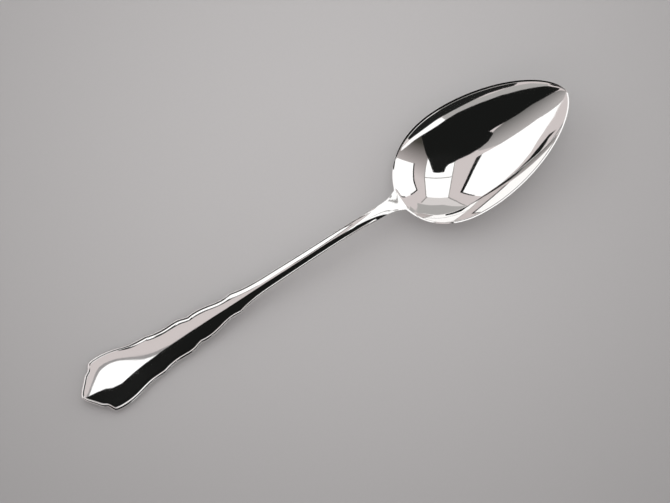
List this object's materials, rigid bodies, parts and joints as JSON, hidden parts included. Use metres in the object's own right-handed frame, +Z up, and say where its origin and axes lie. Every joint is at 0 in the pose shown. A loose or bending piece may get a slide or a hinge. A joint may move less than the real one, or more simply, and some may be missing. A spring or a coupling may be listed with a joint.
{
  "type": "table spoon",
  "caption": "Polished metal table spoon with a deep egg-shaped bowl, a slim stem and a shouldered handle edged with a raised scrolled thread.",
  "frame": {"origin": "on the table, under the middle of the spoon's length and width", "axes": "+X from the handle's tip to the bowl's tip, +Z up out of the bowl's hollow"},
  "size_m": [0.21, 0.0424, 0.0186],
  "materials": {
    "polished_silver": "mirror-polished white metal with fine hairline scratches from use"
  },
  "bodies": {
    "root": {"spoon": "polished_silver"}
  },
  "joints": []
}
